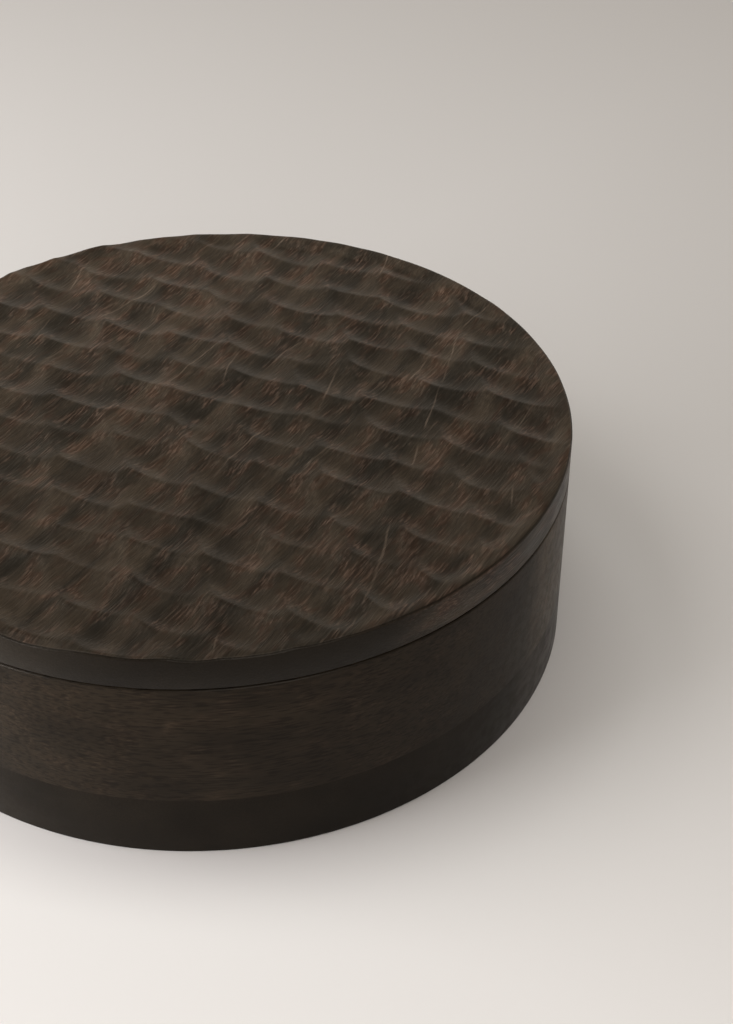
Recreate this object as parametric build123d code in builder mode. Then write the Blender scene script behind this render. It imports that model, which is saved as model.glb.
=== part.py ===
"""Round lidded box of turned wood, with a lid that is carved all over the top with a gouge.

Two boards are glued face to face and turned into a bowl with straight walls. A flat lid lies on the mouth. A ring
glued under the lid drops into the mouth and keeps the lid central. Lengths are in millimetres. The origin is on the
surface that the box stands on, under the middle of the box, and the lid lifts off along +Z.
"""

import math
import os

from build123d import *

# Body of the box
box_radius = 125.0
base_board_thickness = 23.1
wall_board_thickness = 46.1
wall_thickness = 11.0
floor_thickness = 11.0
floor_corner_chamfer = 5.3
foot_edge_chamfer = 0.8
foot_rim_width = 16.0
foot_recess_depth = 1.6
mouth_outer_edge_chamfer = 0.6
mouth_inner_edge_chamfer = 1.5

# Lid
lid_board_thickness = 12.0
lid_top_edge_chamfer = 1.6
lid_lower_edge_chamfer = 0.5
lid_seat_gap = 0.3
locating_ring_depth = 8.0
locating_ring_width = 9.0
locating_ring_clearance = 0.5
locating_ring_lead_in = 1.2
locating_ring_inner_chamfer = 1.5

# Scoops cut into the lid, in staggered rows that the carver let wander a little
scoop_pitch = 24.5
row_pitch = 16.2
row_angle = -19.4
row_stagger_share = 0.38
scoop_wander = 5.0
scoop_angle = -34.0
scoop_angle_wander = 16.0
scoop_depth = 2.2
scoop_depth_wander = 0.9
scoop_rim_width = 20.0
scoop_rim_share = 0.6
scoop_length_radius = 60.0
scoop_near_angle = 32.0
scoop_far_angle = 7.0
scoop_overrun = 1.5
scoop_half_turn = 20.0

# Sizes that follow from the ones above
body_height = base_board_thickness + wall_board_thickness
mouth_radius = box_radius - wall_thickness
lid_underside = body_height + lid_seat_gap
lid_top = lid_underside + lid_board_thickness
locating_ring_radius = mouth_radius - locating_ring_clearance
scoop_rise = scoop_depth + scoop_depth_wander + scoop_overrun
row_reach = math.floor(box_radius / row_pitch)
scoop_reach = math.ceil(box_radius / scoop_pitch + row_stagger_share * row_reach) + 2


def wander(row, place, kind):
    """A steady value from -0.5 to 0.5 that looks random, for one scoop and one kind of change."""
    row_share, place_share, kind_share, spread_share = 78.233, 12.9898, 37.719, 43758.5453
    return math.sin(row_share * row + place_share * place + kind_share * kind) * spread_share % 1 - 0.5


def scoop_depth_at(row, place, distance):
    """How deep one scoop goes. Close to the rim the scoops run out, so that the rim stays nearly level."""
    depth = scoop_depth + scoop_depth_wander * wander(row, place, 4)
    into_rim = min(max(distance - box_radius + scoop_rim_width, 0) / scoop_rim_width, 1)
    return depth * (1 - scoop_rim_share * into_rim)


def scoop_row(row):
    """Where each scoop of one row is cut: its lowest point, and its long axis turned to the angle of the cut."""
    along_x, along_y = math.cos(math.radians(row_angle)), math.sin(math.radians(row_angle))
    locations = []
    for place in range(-scoop_reach, scoop_reach + 1):
        along = (place + row_stagger_share * row) * scoop_pitch
        across = -row * row_pitch
        x = along * along_x - across * along_y + scoop_wander * wander(row, place, 1)
        y = along * along_y + across * along_x + scoop_wander * wander(row, place, 2)
        angle = scoop_angle + scoop_angle_wander * wander(row, place, 3)
        distance = math.hypot(x, y)
        if distance < box_radius + row_pitch / 2:
            lowest = lid_top - scoop_depth_at(row, place, distance)
            locations.append(Location((x, y, lowest), (0, 0, angle)))
    return locations


# The wood that one stroke of the gouge takes out, lowest point at the origin and long axis along X.
# The wall on the near side, -Y, is steep, and the bottom rises slowly on the far side.
with BuildPart() as gouge_stroke:
    with BuildSketch(Plane.YZ):
        with BuildLine():
            near_corner = (-scoop_rise / math.tan(math.radians(scoop_near_angle)), scoop_rise)
            far_corner = (scoop_rise / math.tan(math.radians(scoop_far_angle)), scoop_rise)
            Polyline(near_corner, (0, 0), far_corner, close=True)
        make_face()
    swing_axis = Axis((0, 0, scoop_length_radius), (0, 1, 0))
    revolve(axis=swing_axis, revolution_arc=scoop_half_turn)
    mirror(about=Plane.YZ)

with BuildPart() as lid_board:
    with BuildSketch(Plane.XY.offset(lid_underside)):
        Circle(box_radius)
    extrude(amount=lid_board_thickness)
    chamfer(lid_board.edges().group_by(Axis.Z)[-1], lid_top_edge_chamfer)
    chamfer(lid_board.edges().group_by(Axis.Z)[0], lid_lower_edge_chamfer)
    for row in range(-row_reach, row_reach + 1):
        with Locations(*scoop_row(row)):
            add(gouge_stroke.part, mode=Mode.SUBTRACT)
lid_board.part.label = "lid_board"

with BuildPart() as lid_locating_ring:
    with BuildSketch(Plane.XY.offset(lid_underside)):
        Circle(locating_ring_radius)
        Circle(locating_ring_radius - locating_ring_width, mode=Mode.SUBTRACT)
    extrude(amount=-locating_ring_depth)
    lower_edges = lid_locating_ring.edges().group_by(Axis.Z)[0].sort_by(SortBy.RADIUS)
    chamfer(lower_edges[-1], locating_ring_lead_in)
    chamfer(lower_edges[0], locating_ring_inner_chamfer)
lid_locating_ring.part.label = "lid_locating_ring"

with BuildPart() as wall_ring:
    with BuildSketch(Plane.XY.offset(base_board_thickness)):
        Circle(box_radius)
        Circle(mouth_radius, mode=Mode.SUBTRACT)
    extrude(amount=wall_board_thickness)
    mouth_edges = wall_ring.edges().group_by(Axis.Z)[-1].sort_by(SortBy.RADIUS)
    chamfer(mouth_edges[-1], mouth_outer_edge_chamfer)
    chamfer(mouth_edges[0], mouth_inner_edge_chamfer)
wall_ring.part.label = "wall_ring"

with BuildPart() as base_board:
    with BuildSketch():
        Circle(box_radius)
    extrude(amount=base_board_thickness)
    with BuildSketch(Plane.XY.offset(floor_thickness)):
        Circle(mouth_radius)
    extrude(amount=base_board_thickness - floor_thickness, mode=Mode.SUBTRACT)
    floor_edge = base_board.edges().filter_by_position(Axis.Z, floor_thickness, floor_thickness)
    chamfer(floor_edge, floor_corner_chamfer)
    with BuildSketch():
        Circle(box_radius - foot_rim_width)
    extrude(amount=foot_recess_depth, mode=Mode.SUBTRACT)
    foot_edge = base_board.edges().group_by(Axis.Z)[0].sort_by(SortBy.RADIUS)[-1]
    chamfer(foot_edge, foot_edge_chamfer)
base_board.part.label = "base_board"

os.makedirs("parts", exist_ok=True)
export_step(lid_board.part, "parts/lid_board.step")
export_step(lid_locating_ring.part, "parts/lid_locating_ring.step")
export_step(wall_ring.part, "parts/wall_ring.step")
export_step(base_board.part, "parts/base_board.step")
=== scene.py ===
import logging
import math
from collections.abc import Callable
from dataclasses import dataclass, field, replace
from enum import Enum, IntEnum

import bpy
import numpy as np
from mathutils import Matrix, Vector


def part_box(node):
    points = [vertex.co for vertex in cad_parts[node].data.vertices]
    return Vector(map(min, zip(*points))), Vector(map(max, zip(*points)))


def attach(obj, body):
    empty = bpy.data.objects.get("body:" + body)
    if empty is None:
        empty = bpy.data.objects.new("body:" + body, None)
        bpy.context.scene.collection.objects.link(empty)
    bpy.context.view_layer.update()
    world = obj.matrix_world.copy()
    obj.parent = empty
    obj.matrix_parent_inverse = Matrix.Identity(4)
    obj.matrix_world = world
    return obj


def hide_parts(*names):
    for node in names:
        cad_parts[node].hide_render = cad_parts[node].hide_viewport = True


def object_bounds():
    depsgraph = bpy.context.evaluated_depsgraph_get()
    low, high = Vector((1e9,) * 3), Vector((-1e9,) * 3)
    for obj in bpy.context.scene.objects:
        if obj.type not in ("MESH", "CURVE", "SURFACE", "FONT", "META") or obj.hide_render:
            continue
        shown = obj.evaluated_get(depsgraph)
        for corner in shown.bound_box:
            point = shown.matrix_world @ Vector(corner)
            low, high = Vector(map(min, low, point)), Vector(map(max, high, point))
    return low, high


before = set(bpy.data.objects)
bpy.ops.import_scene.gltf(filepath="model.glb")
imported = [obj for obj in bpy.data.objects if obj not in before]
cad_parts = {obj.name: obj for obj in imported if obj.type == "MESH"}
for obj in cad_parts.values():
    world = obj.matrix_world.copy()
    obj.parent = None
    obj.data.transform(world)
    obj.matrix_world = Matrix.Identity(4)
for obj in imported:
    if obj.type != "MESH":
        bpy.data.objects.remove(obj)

CAD_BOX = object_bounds()
MM = 0.001
BOX_RADIUS = CAD_BOX[1][0]
PICK_TOLERANCE = 0.05 * MM
LOG = logging.getLogger("carved_box")

# The photograph's camera, worked out from the outlines of lid, seam and foot
IMAGE_HEIGHT_PX = 1024
FOCAL_LENGTH_PX = 1773.6
SENSOR_HEIGHT_MM = 36.0
CAMERA_PLACE = Vector((0.05526, -0.49871, 0.42414))
CAMERA_PITCH = 0.6589

# A sine times a large number, of which only the part after the point counts, scatters the gouge strokes
SCATTER_BY_ROW = 78.233
SCATTER_BY_PLACE = 12.9898
SCATTER_BY_KIND = 37.719
SCATTER_SIZE = 43758.5453


class Grain(Enum):
    """Which way the fibres of each board run, in degrees from +X, seen from above."""

    LID = 60.0
    RING = -30.0
    WALL = 8.0
    BASE = 90.0


class Stray(IntEnum):
    """What strays from one gouge stroke to the next, because a hand guides the tool."""

    PLACE_X = 1
    PLACE_Y = 2
    ANGLE = 3
    DEPTH = 4


class Element(Enum):
    """What is picked in edit mode."""

    EDGE = "EDGE"
    FACE = "FACE"


class Corner(Enum):
    """A round edge of a turned ring: whether it is at the top, and whether it is outside."""

    TOP_OUTER = (True, True)
    TOP_INNER = (True, False)
    BOTTOM_OUTER = (False, True)
    BOTTOM_INNER = (False, False)


def linear(hex_code: str) -> tuple[float, float, float, float]:
    """Turns an sRGB hex colour into the linear colour that a shader takes.

    Args:
        hex_code: Six hex digits, red first.

    Returns:
        Linear red, green, blue and an alpha of 1.
    """
    channels = [int(hex_code[i:i + 2], 16) / 255 for i in (0, 2, 4)]
    return (*[c / 12.92 if c <= 0.04045 else ((c + 0.055) / 1.055) ** 2.4 for c in channels], 1.0)


def add_node(tree: bpy.types.NodeTree, kind: str, settings: dict | None = None,
             links: dict | None = None, **properties) -> bpy.types.Node:
    """Adds one node to a material, sets it and links what feeds it.

    Args:
        tree: The node tree that gets the node.
        kind: The node's type name.
        settings: Values of its inputs, by input name or number.
        links: Output sockets that feed its inputs, by input name or number.
        **properties: The node's own choices, such as operation or blend_type.

    Returns:
        The new node.
    """
    node = tree.nodes.new(kind)
    for name, value in properties.items():
        setattr(node, name, value)
    for name, value in (settings or {}).items():
        node.inputs[name].default_value = value
    for name, socket in (links or {}).items():
        tree.links.new(socket, node.inputs[name])
    return node


@dataclass(frozen=True)
class Streaks:
    """A pattern in the wood: noise stretched to a real size, of which the part between start and end shows.

    Attributes:
        along_mm: Length of a streak along the grain.
        across_mm: Its width across the grain, on the level.
        up_mm: Its width across the grain, upright.
        start: Value of the noise from which it shows.
        end: Value of the noise at which it shows in full.
        low: Strength where it doesn't show.
        high: Strength where it shows in full.
        detail: How much finer noise lies on top.
        bend: How far the streaks are bent out of line.
    """

    along_mm: float
    across_mm: float
    up_mm: float
    start: float
    end: float
    low: float = 0.0
    high: float = 1.0
    detail: float = 2.0
    bend: float = 0.0

    def build(self, tree: bpy.types.NodeTree, grain: bpy.types.NodeSocket) -> bpy.types.NodeSocket:
        """Adds the pattern to a material.

        Args:
            tree: The material's node tree.
            grain: The place in millimetres, with X along the grain.

        Returns:
            The pattern's strength, from low to high.
        """
        sized = add_node(
            tree, "ShaderNodeMapping",
            {"Scale": (1 / self.along_mm, 1 / self.across_mm, 1 / self.up_mm)}, {"Vector": grain})
        noise = add_node(
            tree, "ShaderNodeTexNoise", {"Scale": 1.0, "Detail": self.detail, "Distortion": self.bend},
            {"Vector": sized.outputs["Vector"]})
        shown = add_node(
            tree, "ShaderNodeMapRange",
            {"From Min": self.start, "From Max": self.end, "To Min": self.low, "To Max": self.high},
            {"Value": noise.outputs["Fac"]}, interpolation_type="SMOOTHSTEP")
        return shown.outputs["Result"]


@dataclass(frozen=True)
class Veins:
    """Thin pale lines that run nearly along the grain, and break off where the wood is sound.

    Attributes:
        spacing_mm: Distance from line to line.
        lean: Angle to the grain, in radians.
        core_mm: Half the width of a line where it is palest.
        width_mm: Half its width where it fades out.
        drift: How far, in millimetres, the lines wander out of line.
        open_part: Where along its run a line shows.
    """

    spacing_mm: float
    lean: float
    core_mm: float = 0.1
    width_mm: float = 0.42
    drift: Streaks = Streaks(64, 34, 20, 0.2, 0.8, low=-2.6, high=2.6)
    open_part: Streaks = Streaks(30, 12, 12, 0.54, 0.66)

    def build(self, tree: bpy.types.NodeTree, grain: bpy.types.NodeSocket) -> bpy.types.NodeSocket:
        """Adds the lines to a material.

        Args:
            tree: The material's node tree.
            grain: The place in millimetres, with X along the grain.

        Returns:
            1 on a line and 0 beside it.
        """
        leaning = add_node(
            tree, "ShaderNodeMapping",
            {"Rotation": (0, 0, self.lean), "Location": (self.spacing_mm, 0, 0)},
            {"Vector": grain}).outputs["Vector"]
        across = add_node(tree, "ShaderNodeSeparateXYZ", links={"Vector": leaning}).outputs["Y"]
        drifted = add_node(
            tree, "ShaderNodeMath", links={0: across, 1: self.drift.build(tree, leaning)}, operation="ADD")
        folded = add_node(
            tree, "ShaderNodeMath", {1: self.spacing_mm / 2}, {0: drifted.outputs["Value"]},
            operation="PINGPONG")
        line = add_node(
            tree, "ShaderNodeMapRange",
            {"From Min": self.core_mm, "From Max": self.width_mm, "To Min": 1.0, "To Max": 0.0},
            {"Value": folded.outputs["Value"]}, interpolation_type="SMOOTHSTEP")
        shown = add_node(
            tree, "ShaderNodeMath",
            links={0: line.outputs["Result"], 1: self.open_part.build(tree, leaning)}, operation="MULTIPLY")
        return shown.outputs["Value"]


@dataclass(frozen=True)
class SapwoodAndPaintedLightDrift:
    """A slow change of the colour over a board or round its edge: paler sapwood, and painted light and shade.

    Attributes:
        direction: Which way it goes, in degrees from +X, seen from above.
        start: Where it begins along that direction, in the unit given to build.
        end: Where it is complete, in the same unit.
        low: Factor for the colour before start.
        high: Factor for the colour past end.
    """

    direction: float
    start: float
    end: float
    low: float
    high: float

    def build(self, tree: bpy.types.NodeTree, source: bpy.types.NodeSocket,
              unit: float = 1.0) -> bpy.types.NodeSocket:
        """Adds the change to a material.

        Args:
            tree: The material's node tree.
            source: The place or the normal that the change follows.
            unit: The length of the source that counts as 1.

        Returns:
            A factor for the colour.
        """
        angle = math.radians(self.direction)
        along = add_node(
            tree, "ShaderNodeVectorMath", {1: (math.cos(angle) / unit, math.sin(angle) / unit, 0)},
            {0: source}, operation="DOT_PRODUCT")
        factor = add_node(
            tree, "ShaderNodeMapRange",
            {"From Min": self.start, "From Max": self.end, "To Min": self.low, "To Max": self.high},
            {"Value": along.outputs["Value"]}, interpolation_type="SMOOTHSTEP")
        return factor.outputs["Result"]


@dataclass(frozen=True)
class Hardwood:
    """Mango wood, stained almost black-brown and rubbed with a satin oil.

    The ground shifts slowly between two dark browns. Finer fibres in it show tan where the tool has bared
    them, soft patches stay redder, and open pores are darker. End grain has drunk more stain and looks matt
    and black. Rounded edges are painted as black as end grain, as a painted shade.
    """

    name: str
    grain: Grain
    dark: str = "26221c"
    brown: str = "3b332a"
    red_tint: str = "ffc3af"
    fibre: str = "655d53"
    pale: str = "6e6054"
    end_grain: str = "18140f"
    oil: str = "fff3e7"

    # Sizes in millimetres. Growth bands are about 10 mm wide, and stain takes in blots of 20 mm.
    # Real fibres and pores are 0.1 to 0.3 mm wide. A pixel of the render covers 0.4 mm, so they are drawn
    # two or three times as wide as they are, or they wouldn't show.
    figure: Streaks = Streaks(110, 10, 5, 0.34, 0.66, detail=3.0, bend=0.5)
    blots: Streaks = Streaks(26, 18, 18, 0.25, 0.75, 0.8, 1.2)
    fibres: Streaks = Streaks(8, 0.75, 0.75, 0.42, 0.72)
    patches: Streaks = Streaks(10, 5.5, 5.5, 0.42, 0.7, low=0.05, bend=0.4)
    pores: Streaks = Streaks(6, 0.45, 0.45, 0.3, 0.7, 0.82, 1.18, detail=1.0)
    gleam: Streaks = Streaks(12, 3, 3, 0.3, 0.7)
    veins: tuple[Veins, Veins] = (Veins(23.0, 0.06), Veins(37.0, -0.3))

    red_strength: float = 0.88
    fibre_strength: float = 0.55
    # How far rounded edges are painted towards the end-grain colour, as shade
    edge_shade_strength: float = 0.8
    vein_strength: float = 0.0

    # An oil film has an IOR of 1.5. It has mostly sunk in, so little of it is left to shine.
    ior: float = 1.5
    roughness: float = 0.36
    roughness_spread: float = 0.05
    specular: float = 0.11
    bump: float = 0.45
    bump_depth: float = 0.1 * MM
    end_grain_bump: float = 0.35

    # How far a face looks along the grain where end grain begins to show, and where nothing else does
    end_grain_from: float = 0.36
    end_grain_to: float = 0.52

    # How far a face looks up: from where on it counts as top, and where a rounded edge begins at the flat
    # top and at the upright side
    top_from: float = 0.6
    top_to: float = 0.8
    rounding_top_from: float = 0.94
    rounding_top_to: float = 0.86
    rounding_side_from: float = 0.25
    rounding_side_to: float = 0.55

    # Slow changes of the colour over the whole board, on the walls of the gouge cuts, and round the board's
    # # edge: paler sapwood, and painted light and shade
    drift: SapwoodAndPaintedLightDrift | None = None
    cut_wall_painted_light: SapwoodAndPaintedLightDrift | None = None
    edge_brightening: tuple[SapwoodAndPaintedLightDrift, ...] = ()

    def material(self) -> bpy.types.Material:
        """Builds the wood as a solid texture, so that every face shows the grain it would have if sawn there.

        Returns:
            The wood's material.
        """
        wood = bpy.data.materials.new(self.name)
        wood.use_nodes = True
        tree = wood.node_tree
        tree.nodes.clear()
        place = add_node(tree, "ShaderNodeTexCoord")
        normal = place.outputs["Normal"]
        grain = add_node(
            tree, "ShaderNodeMapping",
            {"Rotation": (0, 0, -math.radians(self.grain.value)), "Scale": (1 / MM,) * 3},
            {"Vector": place.outputs["Object"]}).outputs["Vector"]
        fibres = self.fibres.build(tree, grain)
        pores = self.pores.build(tree, grain)
        top = self._top_face(tree, normal)
        stain = self._stain(tree, grain, fibres, top)
        # End grain is darker in its own colour; rounded edges get the same dark colour as a painted shade
        end_grain_and_edge_shade = add_node(
            tree, "ShaderNodeMath",
            links={0: self._end_grain(tree, normal), 1: self._painted_edge_shade(tree, normal)},
            operation="MAXIMUM").outputs["Value"]
        colour = add_node(
            tree, "ShaderNodeMix", {7: linear(self.end_grain)}, {0: end_grain_and_edge_shade, 6: stain}, data_type="RGBA")
        shade = self.blots.build(tree, grain)
        # Blots and pores are in the wood; the further factors add paler sapwood and painted light and shade
        for factor in (pores, *self._shades(tree, place, top)):
            shade = add_node(
                tree, "ShaderNodeMath", links={0: shade, 1: factor}, operation="MULTIPLY").outputs["Value"]
        shaded = add_node(
            tree, "ShaderNodeVectorMath", links={0: colour.outputs[2], "Scale": shade}, operation="SCALE")
        gleam = replace(
            self.gleam, low=self.roughness + self.roughness_spread,
            high=self.roughness - self.roughness_spread)
        shader = add_node(
            tree, "ShaderNodeBsdfPrincipled",
            {"IOR": self.ior, "Specular IOR Level": self.specular, "Specular Tint": linear(self.oil)},
            {"Base Color": shaded.outputs["Vector"], "Roughness": gleam.build(tree, grain),
             "Normal": self._relief(tree, fibres, pores, end_grain_and_edge_shade)})
        add_node(tree, "ShaderNodeOutputMaterial", links={"Surface": shader.outputs["BSDF"]})
        return wood

    def _stain(self, tree: bpy.types.NodeTree, grain: bpy.types.NodeSocket, fibres: bpy.types.NodeSocket,
               top: bpy.types.NodeSocket) -> bpy.types.NodeSocket:
        """Lays the stained colours over each other: ground, bared fibres, red patches, veins.

        Args:
            tree: The material's node tree.
            grain: The place in millimetres, with X along the grain.
            fibres: How much of a fibre shows at each place.
            top: 1 where a face looks up, which is where veins show.

        Returns:
            The colour of long grain.
        """
        colour = add_node(
            tree, "ShaderNodeMix", {6: linear(self.dark), 7: linear(self.brown)},
            {0: self.figure.build(tree, grain)}, data_type="RGBA").outputs[2]
        bared = replace(self.patches, high=self.fibre_strength).build(tree, grain)
        shown = add_node(tree, "ShaderNodeMath", links={0: fibres, 1: bared}, operation="MULTIPLY")
        colour = add_node(
            tree, "ShaderNodeMix", {7: linear(self.fibre)}, {0: shown.outputs["Value"], 6: colour},
            data_type="RGBA").outputs[2]
        red = add_node(tree, "ShaderNodeMath", {1: self.red_strength}, {0: bared}, operation="MULTIPLY")
        colour = add_node(
            tree, "ShaderNodeMix", {7: linear(self.red_tint)}, {0: red.outputs["Value"], 6: colour},
            data_type="RGBA", blend_type="MULTIPLY").outputs[2]
        if not self.vein_strength:
            return colour
        along, slanting = (veins.build(tree, grain) for veins in self.veins)
        lines = add_node(tree, "ShaderNodeMath", links={0: along, 1: slanting}, operation="MAXIMUM")
        lines = add_node(
            tree, "ShaderNodeMath", {1: self.vein_strength}, {0: lines.outputs["Value"]},
            operation="MULTIPLY")
        lines = add_node(
            tree, "ShaderNodeMath", links={0: lines.outputs["Value"], 1: top}, operation="MULTIPLY")
        return add_node(
            tree, "ShaderNodeMix", {7: linear(self.pale)}, {0: lines.outputs["Value"], 6: colour},
            data_type="RGBA").outputs[2]

    def _shades(self, tree: bpy.types.NodeTree, place: bpy.types.Node,
                top: bpy.types.NodeSocket) -> list[bpy.types.NodeSocket]:
        """Adds the slow changes of the colour that this board has: paler sapwood, and painted light and
        shade.

        Args:
            tree: The material's node tree.
            place: The node that gives the place and the normal.
            top: 1 where a face looks up, which is where the walls of the gouge cuts are.

        Returns:
            Factors for the colour.
        """
        shades = []
        # Over the whole board: paler sapwood on the wall and base, a painted light gradient on the lid
        if self.drift:
            shades.append(self.drift.build(tree, place.outputs["Object"], BOX_RADIUS))
        # Painted highlight and shade on the walls of the gouge cuts, only on faces that look up
        if self.cut_wall_painted_light:
            walls = self.cut_wall_painted_light.build(tree, place.outputs["Normal"])
            shades.append(add_node(tree, "ShaderNodeMix", {2: 1.0}, {0: top, 3: walls}).outputs[0])
        # Round the edge, lighter by the way a face looks, in part as a painted highlight
        shades.extend(stretch.build(tree, place.outputs["Normal"]) for stretch in self.edge_brightening)
        return shades

    def _top_face(self, tree: bpy.types.NodeTree, normal: bpy.types.NodeSocket) -> bpy.types.NodeSocket:
        """Finds the faces that look up.

        Args:
            tree: The material's node tree.
            normal: The face's normal.

        Returns:
            1 on the carved top with the walls of its cuts, 0 round the side.
        """
        up = add_node(tree, "ShaderNodeSeparateXYZ", links={"Vector": normal}).outputs["Z"]
        shown = add_node(
            tree, "ShaderNodeMapRange", {"From Min": self.top_from, "From Max": self.top_to}, {"Value": up})
        return shown.outputs["Result"]

    def _end_grain(self, tree: bpy.types.NodeTree, normal: bpy.types.NodeSocket) -> bpy.types.NodeSocket:
        """Finds the faces that look at the ends of the fibres.

        Args:
            tree: The material's node tree.
            normal: The face's normal.

        Returns:
            0 on long grain, 1 on end grain.
        """
        angle = math.radians(self.grain.value)
        facing = add_node(
            tree, "ShaderNodeVectorMath", {1: (math.cos(angle), math.sin(angle), 0)}, {0: normal},
            operation="DOT_PRODUCT")
        facing = add_node(tree, "ShaderNodeMath", links={0: facing.outputs["Value"]}, operation="ABSOLUTE")
        shown = add_node(
            tree, "ShaderNodeMapRange", {"From Min": self.end_grain_from, "From Max": self.end_grain_to},
            {"Value": facing.outputs["Value"]}, interpolation_type="SMOOTHSTEP")
        return shown.outputs["Result"]

    def _painted_edge_shade(self, tree: bpy.types.NodeTree, normal: bpy.types.NodeSocket) -> bpy.types.NodeSocket:
        """Finds the rounded edges, which get a painted shade as dark as end grain.

        Args:
            tree: The material's node tree.
            normal: The face's normal.

        Returns:
            0 on flat faces, up to edge_shade_strength of painted shade on a rounded edge.
        """
        up = add_node(tree, "ShaderNodeSeparateXYZ", links={"Vector": normal}).outputs["Z"]
        up = add_node(tree, "ShaderNodeMath", links={0: up}, operation="ABSOLUTE").outputs["Value"]
        off_top = add_node(
            tree, "ShaderNodeMapRange",
            {"From Min": self.rounding_top_from, "From Max": self.rounding_top_to}, {"Value": up})
        off_side = add_node(
            tree, "ShaderNodeMapRange",
            {"From Min": self.rounding_side_from, "From Max": self.rounding_side_to,
             "To Max": self.edge_shade_strength}, {"Value": up})
        both = add_node(
            tree, "ShaderNodeMath", links={0: off_top.outputs["Result"], 1: off_side.outputs["Result"]},
            operation="MULTIPLY")
        return both.outputs["Value"]

    def _relief(self, tree: bpy.types.NodeTree, fibres: bpy.types.NodeSocket, pores: bpy.types.NodeSocket,
                end_grain_and_edge_shade: bpy.types.NodeSocket) -> bpy.types.NodeSocket:
        """Raises the fibres and opens the pores, less so on end grain and rounded edges.

        Args:
            tree: The material's node tree.
            fibres: How much of a fibre shows at each place.
            pores: How sound the wood is between the pores.
            end_grain_and_edge_shade: 1 on end grain and rounded edges.

        Returns:
            The normal with the relief in it.
        """
        height = add_node(tree, "ShaderNodeMath", links={0: fibres, 1: pores}, operation="ADD")
        share = add_node(
            tree, "ShaderNodeMapRange", {"To Min": 1.0, "To Max": self.end_grain_bump}, {"Value": end_grain_and_edge_shade})
        height = add_node(
            tree, "ShaderNodeMath", links={0: height.outputs["Value"], 1: share.outputs["Result"]},
            operation="MULTIPLY")
        bump = add_node(
            tree, "ShaderNodeBump", {"Strength": self.bump, "Distance": self.bump_depth},
            {"Height": height.outputs["Value"]})
        return bump.outputs["Normal"]


# Cut with a gouge and oiled. To the eye that gives tan fibres bared by the tool, red and charcoal patches,
# thin pale veins, and a weak warm gleam on the ridges. Painted light lies on it too: the top is painted
# paler towards the back, the walls of the cuts that face the back right are painted paler as a highlight,
# and the edge is painted lighter where it faces the left front.
CARVED_LID_WOOD = Hardwood(
    "mango_wood_gouge_carved_oiled", Grain.LID, vein_strength=0.42,
    # Painted light: the top is paler towards the back, as if lit more there
    drift=SapwoodAndPaintedLightDrift(106, -1, 1, 0.79, 1.27),
    # Painted highlight and shade: cut walls that face the back right are paler, those facing the front left
    # darker
    cut_wall_painted_light=SapwoodAndPaintedLightDrift(53, -0.2, 0.32, 0.85, 1.31),
    # Round the edge: lighter where it faces the right front, and a painted highlight where it faces the left
    # front
    edge_brightening=(SapwoodAndPaintedLightDrift(-32, 0.45, 0.95, 1.0, 1.15), SapwoodAndPaintedLightDrift(-150, 0.68, 0.88, 1.0, 2.2)))

# Turned and oiled under the lid. The eye gets the lid's brown again, with fine fibres but no cuts.
RING_WOOD = Hardwood("mango_wood_turned_ring", Grain.RING)

# Turned, sanded and stained darker than the lid. The eye gets a nearly black brown with dense dark dashes,
# the open pores, which run level along the grain, and paler sapwood at the right end.
WALL_WOOD = Hardwood(
    "mango_wood_turned_wall", Grain.WALL, dark="1b1610", brown="201a13", fibre="332b22",
    figure=Streaks(120, 12, 7, 0.34, 0.66, detail=3.0, bend=0.4),
    pores=Streaks(7, 1.2, 0.6, 0.32, 0.56, 0.55, 1.16, detail=1.0),
    red_strength=0.25, fibre_strength=0.5, end_grain_from=0.93, end_grain_to=0.99, bump=0.1,
    drift=SapwoodAndPaintedLightDrift(-5, 0.895, 0.945, 1.0, 3.0))

# Turned and sanded from a denser board that took more stain. The eye gets a smoother and darker foot than
# the wall above it, so that the glue line shows as a step.
BASE_WOOD = Hardwood(
    "mango_wood_turned_base", Grain.BASE, dark="100b07", brown="150f09", fibre="1d160e",
    figure=Streaks(120, 12, 7, 0.34, 0.66, detail=3.0, bend=0.4),
    red_strength=0.5, specular=0.08, bump=0.06,
    drift=SapwoodAndPaintedLightDrift(-5, 0.84, 0.97, 1.0, 2.2))


@dataclass(frozen=True)
class MattPaint:
    """Emulsion rolled on a smooth board. The eye gets an even pale ground with soft shadows and no gleam."""

    name: str = "matt_painted_board"
    colour: str = "d8d5d4"
    roughness: float = 0.9
    specular: float = 0.1

    def material(self) -> bpy.types.Material:
        """Builds the paint.

        Returns:
            The paint's material.
        """
        paint = bpy.data.materials.new(self.name)
        paint.use_nodes = True
        tree = paint.node_tree
        tree.nodes.clear()
        shader = add_node(
            tree, "ShaderNodeBsdfPrincipled",
            {"Base Color": linear(self.colour), "Roughness": self.roughness,
             "Specular IOR Level": self.specular})
        add_node(tree, "ShaderNodeOutputMaterial", links={"Surface": shader.outputs["BSDF"]})
        return paint


@dataclass(frozen=True)
class GougeStroke:
    """One stroke of the gouge: where it is deepest, how deep, and the angle of its long axis."""

    x: float
    y: float
    angle: float
    depth: float


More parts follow.
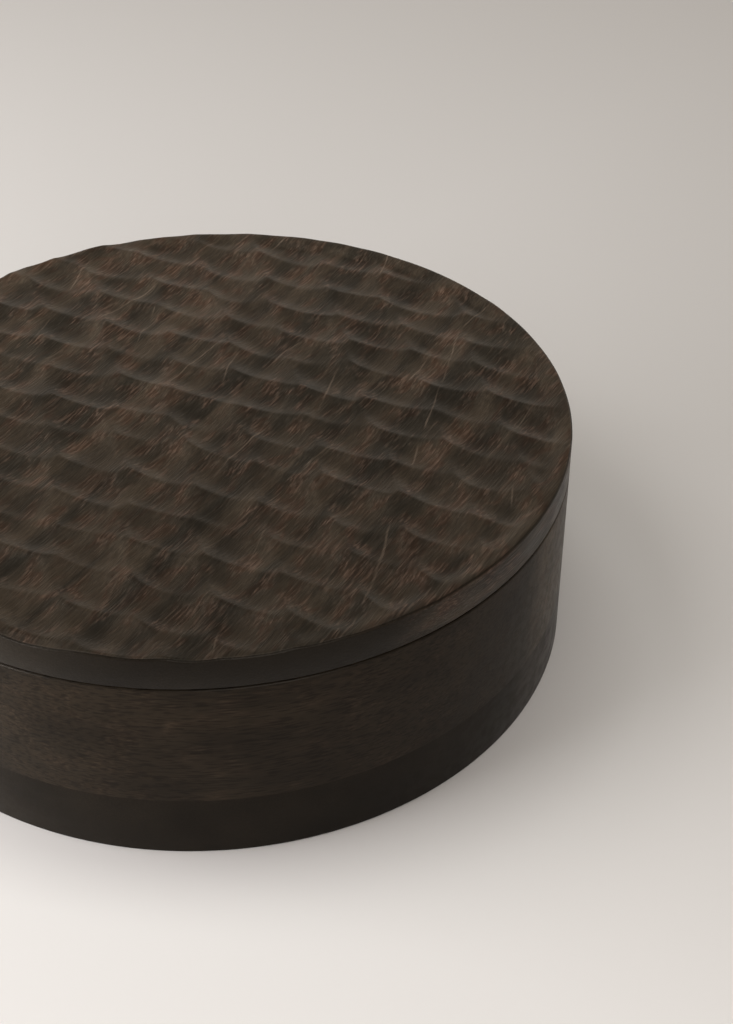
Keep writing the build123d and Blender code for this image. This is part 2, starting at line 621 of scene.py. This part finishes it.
@dataclass
class Carving:
    """Staggered rows of gouge strokes all over the lid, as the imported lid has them."""

    lid_radius: float

    # Rows of strokes, and how far a stroke strays from its place in them
    pitch: float = 24.5 * MM
    row_pitch: float = 16.2 * MM
    row_angle: float = math.radians(-19.4)
    stagger: float = 0.38
    drift: float = 5.0 * MM

    # Long axis of the strokes, and how it changes over the lid and from stroke to stroke
    angle: float = math.radians(-41.0)
    angle_fan: float = math.radians(-6.0)
    angle_drift: float = math.radians(20.0)

    # Shape of a stroke: steep on the near side, slowly rising on the far side
    depth: float = 2.2 * MM
    depth_drift: float = 0.7 * MM
    length_radius: float = 105.0 * MM
    near_radius: float = 20.0 * MM
    far_radius: float = 42.0 * MM
    worn: float = 0.45 * MM
    reach: float = 34.0 * MM
    clearance: float = 1.0 * MM

    # Strokes get shallower towards the rim. At the right the rim is calm: it is nearly level from calm_start
    # on, a share of rim_width, and fades out round the rim where calm_reach and a cosine come to nothing.
    rim_width: float = 20.0 * MM
    rim_share: float = 0.45
    rim_level: float = 0.15 * MM
    calm_start: float = 0.45
    calm_width: float = 0.4
    calm_direction: float = math.radians(15.0)
    calm_reach: float = 0.5

    # Fine ripple that the tool leaves between the strokes
    ripple_height: float = 0.07 * MM
    ripple_x: float = 3.1 * MM
    ripple_bend: float = 2.0
    ripple_bend_y: float = 7.3 * MM
    ripple_y: float = 4.3 * MM
    ripple_slant_x: float = 9.0 * MM

    @staticmethod
    def wander(row: int, place: int, kind: Stray) -> float:
        """A steady value from -0.5 to 0.5 that looks random, for one stroke and one kind of change."""
        turn = SCATTER_BY_ROW * row + SCATTER_BY_PLACE * place + SCATTER_BY_KIND * kind
        return math.sin(turn) * SCATTER_SIZE % 1 - 0.5

    def strokes(self) -> list[GougeStroke]:
        """Lays out the strokes row by row.

        Returns:
            Every stroke that touches the lid.
        """
        along_x, along_y = math.cos(self.row_angle), math.sin(self.row_angle)
        rows = math.ceil(self.lid_radius / self.row_pitch) + 1
        places = math.ceil(self.lid_radius / self.pitch) + 2 + math.ceil(self.stagger * rows)
        found = []
        for row in range(-rows, rows + 1):
            for place in range(-places, places + 1):
                along = (place + self.stagger * row) * self.pitch
                across = -row * self.row_pitch
                stray_x, stray_y, turn, deeper = (self.wander(row, place, kind) for kind in Stray)
                x = along * along_x - across * along_y + self.drift * stray_x
                y = along * along_y + across * along_x + self.drift * stray_y
                angle = self.angle + self.angle_fan * x / self.lid_radius + self.angle_drift * turn
                distance = math.hypot(x, y)
                into_rim = min(max(distance - self.lid_radius + self.rim_width, 0) / self.rim_width, 1)
                depth = (self.depth + self.depth_drift * deeper) * (1 - self.rim_share * into_rim)
                if distance < self.lid_radius + self.row_pitch / 2:
                    found.append(GougeStroke(x, y, angle, depth))
        return found

    def sink(self, x: np.ndarray, y: np.ndarray) -> np.ndarray:
        """How far the carved surface lies below the board's old flat top.

        Args:
            x: Places along X, in metres.
            y: Places along Y, in metres.

        Returns:
            Heights at those places, none above 0.
        """
        height = np.zeros_like(x)
        for stroke in self.strokes():
            near = np.flatnonzero(np.hypot(x - stroke.x, y - stroke.y) < self.reach)
            if near.size:
                height[near] = self._cut(stroke, x[near] - stroke.x, y[near] - stroke.y, height[near])
        calm = self._calm(x, y)
        return np.minimum(height * (1 - calm) - self.rim_level * calm + self._ripple(x, y), 0)

    def _cut(self, stroke: GougeStroke, dx: np.ndarray, dy: np.ndarray, surface: np.ndarray) -> np.ndarray:
        """Takes one stroke out of the surface, with a worn ridge where it meets the strokes before it.

        Args:
            stroke: The stroke.
            dx: Places along X from where it is deepest.
            dy: Places along Y from where it is deepest.
            surface: Heights before the stroke.

        Returns:
            Heights after the stroke.
        """
        along = dx * math.cos(stroke.angle) + dy * math.sin(stroke.angle)
        across = -dx * math.sin(stroke.angle) + dy * math.cos(stroke.angle)
        radius = np.where(across < 0, self.near_radius, self.far_radius)
        wall = radius - np.sqrt(np.maximum(radius ** 2 - across ** 2, 0))
        arm = self.length_radius - wall
        cut = self.length_radius - np.sqrt(np.maximum(arm ** 2 - along ** 2, 0)) - stroke.depth
        blend = np.clip(0.5 + (surface - cut) / (2 * self.worn), 0, 1)
        softened = surface * (1 - blend) + cut * blend - self.worn * blend * (1 - blend)
        return np.where(cut < self.clearance, softened, surface)

    def _calm(self, x: np.ndarray, y: np.ndarray) -> np.ndarray:
        """Where the edge of the top is left nearly flat.

        Args:
            x: Places along X, in metres.
            y: Places along Y, in metres.

        Returns:
            0 on the carved top, up to 1 at the edge towards calm_direction.
        """
        into_rim = np.hypot(x, y) - self.lid_radius + self.calm_start * self.rim_width
        out = np.clip(into_rim / (self.calm_width * self.rim_width), 0, 1)
        towards = np.clip(self.calm_reach + np.cos(np.arctan2(y, x) - self.calm_direction), 0, 1)
        return out * out * (3 - 2 * out) * towards

    def _ripple(self, x: np.ndarray, y: np.ndarray) -> np.ndarray:
        """The fine unevenness between the strokes.

        Args:
            x: Places along X, in metres.
            y: Places along Y, in metres.

        Returns:
            Heights to add.
        """
        bent = np.sin(x / self.ripple_x + self.ripple_bend * np.sin(y / self.ripple_bend_y))
        slanting = np.sin(y / self.ripple_y + x / self.ripple_slant_x)
        return self.ripple_height * (bent + slanting)


class Workshop:
    """What every turned or carved piece needs: a clean start, a pick by place, and a finished mesh."""

    @staticmethod
    def start() -> None:
        """Deselects everything, so that the next primitive is shaped alone."""
        bpy.ops.object.select_all(action="DESELECT")

    @staticmethod
    def pick(piece: bpy.types.Object, kind: Element, test: Callable[[np.ndarray], bool]) -> None:
        """Selects the edges or faces that pass a test, in edit mode.

        Args:
            piece: The piece in edit mode.
            kind: Whether edges or faces are picked.
            test: A function of the places of an element's vertices, which says whether it is selected.
        """
        bpy.ops.mesh.select_mode(type=kind.value)
        bpy.ops.mesh.select_all(action="DESELECT")
        bpy.ops.object.mode_set(mode="OBJECT")
        mesh = piece.data
        places = np.empty(len(mesh.vertices) * 3)
        mesh.vertices.foreach_get("co", places)
        places = places.reshape(-1, 3)
        elements = mesh.edges if kind is Element.EDGE else mesh.polygons
        for element in elements:
            element.select = test(places[list(element.vertices)])
        bpy.ops.object.mode_set(mode="EDIT")

    @staticmethod
    def finish(piece: bpy.types.Object, name: str, wood: bpy.types.Material, body: str, node: str,
               sharp_angle: float = math.radians(35)) -> bpy.types.Object:
        """Names a piece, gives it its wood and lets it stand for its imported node.

        Args:
            piece: The modelled piece, in object mode.
            name: The name that the piece gets.
            wood: Its material.
            body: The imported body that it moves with.
            node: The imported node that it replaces.
            sharp_angle: Edges that turn more than this stay crisp.

        Returns:
            The finished piece.
        """
        bpy.ops.object.select_all(action="DESELECT")
        bpy.context.view_layer.objects.active = piece
        piece.select_set(True)
        bpy.ops.object.mode_set(mode="EDIT")
        bpy.ops.mesh.select_all(action="SELECT")
        bpy.ops.mesh.normals_make_consistent(inside=False)
        bpy.ops.object.mode_set(mode="OBJECT")
        bpy.ops.object.transform_apply(location=True, rotation=True, scale=True)
        bpy.ops.object.shade_smooth_by_angle(angle=sharp_angle)
        piece.name = piece.data.name = name
        piece.data.materials.clear()
        piece.data.materials.append(wood)
        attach(piece, body)
        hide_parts(node)
        return piece


@dataclass
class TurnedRing(Workshop):
    """A plain ring turned from a board: the wall of the box, or the ring under its lid."""

    node: str
    wall: float
    easings: dict[Corner, float] = field(default_factory=dict)
    sides: int = 384
    easing_steps: int = 3

    def build(self, name: str, wood: bpy.types.Material, body: str) -> bpy.types.Object:
        """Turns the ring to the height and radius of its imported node.

        Args:
            name: The piece's name.
            wood: Its material.
            body: The body it moves with.

        Returns:
            The ring.
        """
        low, high = (Vector(corner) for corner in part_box(self.node))
        radius = (high.x - low.x) / 2
        self.start()
        bpy.ops.mesh.primitive_circle_add(vertices=self.sides, radius=radius, location=(0, 0, low.z))
        ring = bpy.context.object
        bpy.ops.object.transform_apply(location=True)
        bpy.ops.object.mode_set(mode="EDIT")
        bpy.ops.mesh.extrude_region_move(TRANSFORM_OT_translate={"value": (0, 0, high.z - low.z)})
        bpy.ops.mesh.select_all(action="SELECT")
        bpy.ops.mesh.normals_make_consistent(inside=False)
        bpy.ops.object.mode_set(mode="OBJECT")
        thickness = ring.modifiers.new("wall", "SOLIDIFY")
        thickness.thickness = self.wall
        thickness.offset = -1.0
        bpy.ops.object.modifier_apply(modifier=thickness.name)
        bpy.ops.object.mode_set(mode="EDIT")
        for corner, easing in self.easings.items():
            at_top, outside = corner.value
            edge_radius = radius if outside else radius - self.wall
            self.ease(ring, edge_radius, high.z if at_top else low.z, easing, self.easing_steps)
        bpy.ops.object.mode_set(mode="OBJECT")
        return self.finish(ring, name, wood, body, self.node)

    def ease(self, piece: bpy.types.Object, radius: float, height: float, easing: float, steps: int) -> None:
        """Rounds one circular edge.

        Args:
            piece: The piece in edit mode.
            radius: The edge's radius.
            height: The edge's height.
            easing: How far the rounding reaches.
            steps: How many faces the rounding has.
        """

        def on_edge(corners: np.ndarray) -> bool:
            """Whether an edge lies on the circle."""
            off = np.hypot(np.hypot(corners[:, 0], corners[:, 1]) - radius, corners[:, 2] - height)
            return bool(np.all(off < PICK_TOLERANCE))

        self.pick(piece, Element.EDGE, on_edge)
        bpy.ops.mesh.bevel(offset=easing, segments=steps, profile=0.5)


@dataclass
class BaseBoard(TurnedRing):
    """The lower board: a disc with the floor of the box turned into its top, and a shallow hollow below."""

    floor: float = 11.0 * MM
    cove: float = 9.0 * MM
    cove_steps: int = 10
    foot_rim: float = 16.0 * MM
    foot_hollow: float = 1.6 * MM
    hollow_easing: float = 1.2 * MM

    def build(self, name: str, wood: bpy.types.Material, body: str) -> bpy.types.Object:
        """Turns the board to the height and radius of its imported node.

        Args:
            name: The piece's name.
            wood: Its material.
            body: The body it moves with.

        Returns:
            The board.
        """
        low, high = (Vector(corner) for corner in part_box(self.node))
        radius = (high.x - low.x) / 2
        self.start()
        bpy.ops.mesh.primitive_cylinder_add(
            vertices=self.sides, radius=radius, depth=high.z - low.z, location=(0, 0, (high.z + low.z) / 2))
        board = bpy.context.object
        bpy.ops.object.transform_apply(location=True)
        bpy.ops.object.mode_set(mode="EDIT")
        self._turn_in(board, high.z, self.wall, self.floor)
        self._turn_in(board, low.z, self.foot_rim, self.foot_hollow)
        self.ease(board, radius - self.wall, self.floor, self.cove, self.cove_steps)
        self.ease(board, radius - self.foot_rim, self.foot_hollow, self.hollow_easing, self.easing_steps)
        self.ease(board, radius, low.z, self.easings[Corner.BOTTOM_OUTER], self.easing_steps)
        bpy.ops.object.mode_set(mode="OBJECT")
        return self.finish(board, name, wood, body, self.node)

    def _turn_in(self, board: bpy.types.Object, face: float, rim: float, level: float) -> None:
        """Turns a flat recess into one face of the board.

        Args:
            board: The board in edit mode.
            face: The face's height.
            rim: Width of the rim that is left round the recess.
            level: Height that the recess goes to.
        """

        def on_face(corners: np.ndarray) -> bool:
            """Whether a face lies at the height of the board's face."""
            return bool(np.all(np.abs(corners[:, 2] - face) < PICK_TOLERANCE))

        self.pick(board, Element.FACE, on_face)
        bpy.ops.mesh.inset(thickness=rim)
        bpy.ops.mesh.extrude_region_move(TRANSFORM_OT_translate={"value": (0, 0, level - face)})


@dataclass
class CarvedLidBoard(Workshop):
    """The lid's board: its top carved all over, its edge turned plain with a softly rounded rim."""

    node: str = "lid_board"
    squares: int = 284
    rim_radius: float = 1.0 * MM
    rim_steps: int = 5
    lower_easing: float = 0.7 * MM
    lower_steps: int = 2

    def build(self, name: str, wood: bpy.types.Material, body: str) -> bpy.types.Object:
        """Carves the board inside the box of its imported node.

        Args:
            name: The piece's name.
            wood: Its material.
            body: The body it moves with.

        Returns:
            The board.
        """
        low, high = (Vector(corner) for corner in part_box(self.node))
        radius = (high.x - low.x) / 2
        self.start()
        bpy.ops.mesh.primitive_grid_add(x_subdivisions=self.squares, y_subdivisions=self.squares, size=2)
        board = bpy.context.object
        self._carve(board, radius - self.rim_radius, high.z, Carving(lid_radius=radius))
        self._turn_edge(board, radius, low.z)
        return self.finish(board, name, wood, body, self.node)

    def _carve(self, board: bpy.types.Object, radius: float, top: float, carving: Carving) -> None:
        """Rounds the square sheet into a disc and sinks it to the carved surface.

        Args:
            board: The sheet, 2 units across.
            radius: Radius of the disc.
            top: Height of the board's old flat top.
            carving: The strokes.
        """
        mesh = board.data
        places = np.empty(len(mesh.vertices) * 3)
        mesh.vertices.foreach_get("co", places)
        places = places.reshape(-1, 3)
        x, y = places[:, 0].copy(), places[:, 1].copy()
        wide = np.abs(x) > np.abs(y)
        reach = np.where(wide, x, y)
        ratio = np.divide(np.where(wide, y, x), reach, out=np.zeros_like(x), where=reach != 0)
        turn = np.where(wide, ratio * math.pi / 4, math.pi / 2 - ratio * math.pi / 4)
        places[:, 0] = radius * reach * np.cos(turn)
        places[:, 1] = radius * reach * np.sin(turn)
        places[:, 2] = top + carving.sink(places[:, 0], places[:, 1])
        mesh.vertices.foreach_set("co", places.ravel())
        mesh.update()

    def _turn_edge(self, board: bpy.types.Object, radius: float, bottom: float) -> None:
        """Extrudes the disc's rim over a rounded edge and down the side, and closes the underside.

        Args:
            board: The carved disc.
            radius: Radius of the finished board.
            bottom: Height of its underside.
        """
        bpy.ops.object.mode_set(mode="EDIT")
        bpy.ops.mesh.select_mode(type="EDGE")
        bpy.ops.mesh.select_all(action="DESELECT")
        bpy.ops.mesh.select_non_manifold(extend=False, use_boundary=True)
        inner = radius - self.rim_radius
        out, down = inner, 0.0
        for step in range(1, self.rim_steps + 1):
            angle = math.pi / 2 * step / self.rim_steps
            next_out = inner + self.rim_radius * math.sin(angle)
            next_down = self.rim_radius * (1 - math.cos(angle))
            bpy.ops.mesh.extrude_region_move(TRANSFORM_OT_translate={"value": (0, 0, down - next_down)})
            bpy.ops.transform.resize(value=(next_out / out, next_out / out, 1), center_override=(0, 0, 0))
            out, down = next_out, next_down
        bpy.ops.mesh.extrude_region_move()
        bpy.ops.transform.resize(value=(1, 1, 0), center_override=(0, 0, bottom + self.lower_easing))
        for step in range(1, self.lower_steps + 1):
            angle = math.pi / 2 * step / self.lower_steps
            next_out = radius - self.lower_easing * (1 - math.cos(angle))
            level = bottom + self.lower_easing * (1 - math.sin(angle))
            bpy.ops.mesh.extrude_region_move()
            bpy.ops.transform.resize(value=(next_out / out, next_out / out, 0), center_override=(0, 0, level))
            out = next_out
        bpy.ops.mesh.edge_face_add()
        bpy.ops.object.mode_set(mode="OBJECT")


@dataclass(frozen=True)
class SoftBox:
    """A large flat lamp that shines at the middle of the box.

    Attributes:
        name: The lamp's name.
        azimuth: Where it hangs, in degrees from +X, seen from above.
        elevation: How high it hangs, in degrees above the floor.
        distance: Its distance from the middle of the box, in metres.
        width: Its width in metres.
        height: Its height in metres.
        power: Its power in watts.
        colour: Its linear colour.
    """

    name: str
    azimuth: float
    elevation: float
    distance: float
    width: float
    height: float
    power: float
    colour: tuple[float, float, float] = (1.0, 1.0, 1.0)

    def build(self) -> None:
        """Hangs the lamp in its place."""
        around, above = math.radians(self.azimuth), math.radians(self.elevation)
        place = self.distance * Vector((
            math.cos(above) * math.cos(around), math.cos(above) * math.sin(around), math.sin(above)))
        lamp = bpy.data.lights.new(self.name, "AREA")
        lamp.shape = "RECTANGLE"
        lamp.size, lamp.size_y = self.width, self.height
        lamp.energy = self.power
        lamp.color = self.colour
        holder = bpy.data.objects.new(self.name, lamp)
        holder.location = place
        holder.rotation_euler = (-place).to_track_quat("-Z", "Y").to_euler()
        bpy.context.collection.objects.link(holder)


@dataclass
class Studio:
    """A plain pale floor and soft light, seen by a camera at the photograph's angle."""

    floor_paint: MattPaint = MattPaint()
    floor_radius: float = 1.3
    floor_sides: int = 192
    room_strength: float = 0.1
    room_colour: tuple[float, float, float] = (1.0, 0.62, 0.36)
    backdrop_colour: str = "efe5d9"
    backdrop_low: float = 0.94
    backdrop_high: float = 0.2
    backdrop_rise: tuple[float, float] = (0.2, 0.72)

    # A low window and the sky at the left throw the long soft shadow, the front lamp lights the wall, and a
    # broad lamp from above fills in
    lamps: tuple[SoftBox, ...] = (
        SoftBox("window_left", 193, 10, 0.88, 0.93, 0.12, 16.3),
        SoftBox("skylight_left", 185, 57, 1.41, 1.05, 0.58, 6.3, (1.0, 0.99, 0.96)),
        SoftBox("softbox_front", 287, 33, 0.75, 0.38, 0.38, 1.75, (1.0, 0.985, 0.96)),
        SoftBox("softbox_above", 75, 81, 2.46, 1.89, 0.69, 21.0, (0.97, 1.0, 0.95)),
    )

    def build(self) -> None:
        """Adds the floor, the room, the lamps and the camera."""
        self._floor()
        self._room()
        for lamp in self.lamps:
            lamp.build()
        self._camera()
        bpy.context.scene.view_settings.view_transform = "Standard"

    def _floor(self) -> None:
        """Lays a painted board under the box."""
        bpy.ops.object.select_all(action="DESELECT")
        bpy.ops.mesh.primitive_circle_add(
            vertices=self.floor_sides, radius=self.floor_radius, fill_type="NGON")
        floor = bpy.context.object
        floor.name = floor.data.name = "studio_floor"
        floor.data.materials.append(self.floor_paint.material())

    def _room(self) -> None:
        """Adds a dim warm room, which the camera and the polish of the wood see as a pale backdrop."""
        world = bpy.data.worlds.new("dim_room")
        world.use_nodes = True
        tree = world.node_tree
        tree.nodes.clear()
        path = add_node(tree, "ShaderNodeLightPath")
        seen = add_node(
            tree, "ShaderNodeMath",
            links={0: path.outputs["Is Camera Ray"], 1: path.outputs["Is Glossy Ray"]}, operation="MAXIMUM")
        seen = add_node(
            tree, "ShaderNodeMath",
            links={0: seen.outputs["Value"], 1: path.outputs["Is Transmission Ray"]}, operation="MAXIMUM")
        light = add_node(
            tree, "ShaderNodeBackground", {"Color": (*self.room_colour, 1.0), "Strength": self.room_strength})
        direction = add_node(tree, "ShaderNodeTexCoord").outputs["Generated"]
        rise = add_node(tree, "ShaderNodeSeparateXYZ", links={"Vector": direction}).outputs["Z"]
        low, high = self.backdrop_rise
        fading = add_node(
            tree, "ShaderNodeMapRange",
            {"From Min": low, "From Max": high, "To Min": self.backdrop_low, "To Max": self.backdrop_high},
            {"Value": rise}, interpolation_type="SMOOTHSTEP")
        backdrop = add_node(
            tree, "ShaderNodeBackground", {"Color": linear(self.backdrop_colour)},
            {"Strength": fading.outputs["Result"]})
        both = add_node(
            tree, "ShaderNodeMixShader",
            links={0: seen.outputs["Value"], 1: light.outputs["Background"],
                   2: backdrop.outputs["Background"]})
        add_node(tree, "ShaderNodeOutputWorld", links={"Surface": both.outputs["Shader"]})
        bpy.context.scene.world = world

    def _camera(self) -> None:
        """Sets up the photograph's own view, whose longer side, the height, takes the sensor's width."""
        camera = bpy.data.cameras.new("photo_camera")
        camera.sensor_width = SENSOR_HEIGHT_MM
        camera.lens = FOCAL_LENGTH_PX / IMAGE_HEIGHT_PX * SENSOR_HEIGHT_MM
        holder = bpy.data.objects.new("photo_camera", camera)
        holder.location = CAMERA_PLACE
        holder.rotation_euler = (math.pi / 2 - CAMERA_PITCH, 0, 0)
        bpy.context.collection.objects.link(holder)
        bpy.context.scene.camera = holder


def main() -> None:
    """Builds the box piece by piece, reports each one, then adds the studio round it."""
    logging.basicConfig(level=logging.INFO, format="%(name)s: %(message)s")
    ring = TurnedRing(
        "lid_locating_ring", wall=9.0 * MM,
        easings={Corner.BOTTOM_OUTER: 1.2 * MM, Corner.BOTTOM_INNER: 1.5 * MM})
    wall = TurnedRing(
        "wall_ring", wall=11.0 * MM, easings={Corner.TOP_OUTER: 0.8 * MM, Corner.TOP_INNER: 1.5 * MM})
    base = BaseBoard("base_board", wall=11.0 * MM, easings={Corner.BOTTOM_OUTER: 0.8 * MM})
    boards = (
        (CarvedLidBoard(), "carved_lid", CARVED_LID_WOOD, "lid"),
        (ring, "locating_ring", RING_WOOD, "lid"),
        (wall, "turned_wall", WALL_WOOD, "box"),
        (base, "turned_base", BASE_WOOD, "box"),
    )
    for board, name, wood, body in boards:
        piece = board.build(name, wood.material(), body)
        LOG.info("%s: %d faces, rides on %s", name, len(piece.data.polygons), body)
    Studio().build()


if __name__ == "__main__":
    main()
